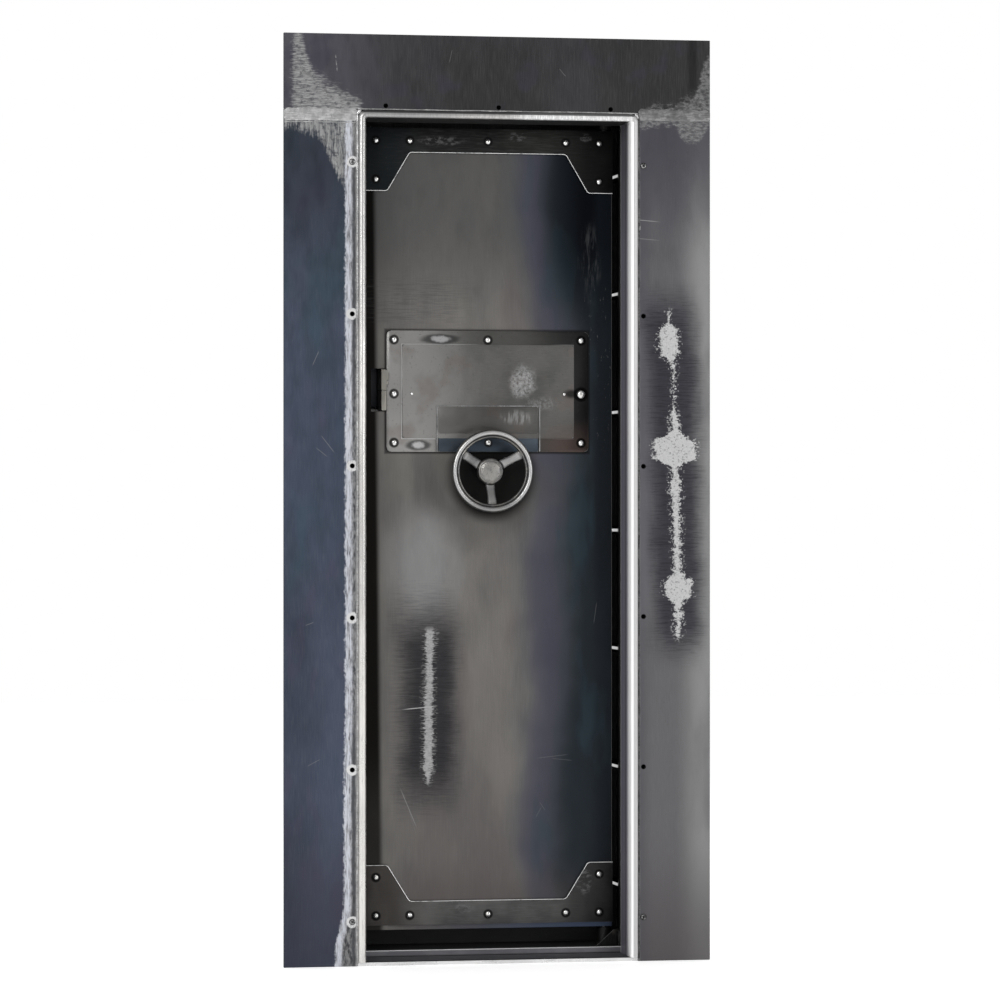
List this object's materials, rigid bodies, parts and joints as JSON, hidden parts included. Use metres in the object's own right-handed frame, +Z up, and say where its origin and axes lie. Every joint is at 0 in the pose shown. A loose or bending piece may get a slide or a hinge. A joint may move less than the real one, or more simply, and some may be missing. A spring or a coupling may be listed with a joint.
{
  "type": "vault door",
  "caption": "Walk-in vault door: a recessed pivot-hung steel leaf in a plate frame, with a lock cover, a handwheel and sliding bolts.",
  "frame": {"origin": "on the floor, halfway across the doorway, on the wall plane behind the face plates", "axes": "+Z up, +X to the right as seen from outside, +Y into the strongroom"},
  "size_m": [1.067, 0.295, 2.286],
  "materials": {
    "frame_steel": "blued and worn hot-rolled steel plate, satin",
    "bright_steel": "polished bare steel edge",
    "dark_steel": "dark primer on steel, matt",
    "leaf_steel": "dark patinated steel plate, satin",
    "cover_steel": "warm grey worn steel, satin",
    "screw_steel": "plain steel screw",
    "pin_steel": "ground bright steel",
    "cast_metal": "light grey cast steel, fine blasted",
    "bearing_bronze": "turned bronze"
  },
  "bodies": {
    "frame": {"face_plate_left": "frame_steel", "face_plate_right": "frame_steel", "face_plate_head": "frame_steel", "jamb_liner_left": "bright_steel", "jamb_liner_right": "bright_steel", "head_liner": "bright_steel", "jamb_casing_left": "dark_steel", "jamb_casing_right": "dark_steel", "head_casing": "dark_steel", "sill_plate": "frame_steel", "threshold_plate": "bright_steel", "rear_stop": "dark_steel", "strike_bar_left": "bright_steel", "strike_bar_right": "bright_steel", "pivot_bush_top": "bearing_bronze", "pivot_bush_bottom": "bearing_bronze", "frame_screw_bottom_left": "screw_steel", "frame_screw_bottom_right": "screw_steel", "frame_screw_top_left": "screw_steel", "frame_screw_top_right": "screw_steel"},
    "door": {"spindle_bearing": "bearing_bronze", "door_front_plate": "leaf_steel", "door_back_plate": "leaf_steel", "reinforcing_plate_top": "leaf_steel", "reinforcing_plate_bottom": "leaf_steel", "door_stile_left": "dark_steel", "door_stile_right": "dark_steel", "door_rail_top": "dark_steel", "door_rail_bottom": "dark_steel", "lock_cover": "cover_steel", "lock_cover_insert": "cover_steel", "cover_screw_bottom_left": "screw_steel", "cover_screw_middle_left": "screw_steel", "cover_screw_top_left": "screw_steel", "cover_screw_bottom_right": "screw_steel", "cover_screw_middle_right": "screw_steel", "cover_screw_top_right": "screw_steel", "cover_screw_bottom_middle": "screw_steel", "cover_screw_top_middle": "screw_steel", "pivot_pin_top": "pin_steel", "pivot_pin_bottom": "pin_steel", "dog_pin_1": "pin_steel", "dog_pin_2": "pin_steel", "dog_pin_3": "pin_steel", "dog_pin_4": "pin_steel", "dog_pin_5": "pin_steel", "dog_pin_6": "pin_steel", "dog_pin_7": "pin_steel"},
    "wheel": {"handwheel": "cast_metal", "hub_cap": "cast_metal", "spindle": "pin_steel", "pinion": "pin_steel"},
    "bolts": {"bolt_bar": "dark_steel", "bolt_tab": "pin_steel", "rack": "pin_steel", "bolt_1": "pin_steel", "bolt_2": "pin_steel", "bolt_3": "pin_steel", "bolt_4": "pin_steel"}
  },
  "joints": [
    {"name": "door_swing", "type": "hinge", "parent": "frame", "child": "door", "pos_m": [0.3025, 0.177, 1.071], "axis": [0, 0, 1], "range_deg": [0, 80]},
    {"name": "wheel_turn", "type": "hinge", "parent": "door", "child": "wheel", "pos_m": [0, 0.1085, 1.2152], "axis": [0, 1, 0], "range_deg": [0, 87]},
    {"name": "bolt_slide", "type": "slide", "parent": "door", "child": "bolts", "axis": [-1, 0, 0], "range_m": [0, 0.023]}
  ],
  "couplings": [
    {"joint": "bolt_slide", "follows": "wheel_turn", "m_per_rad": 0.015}
  ]
}
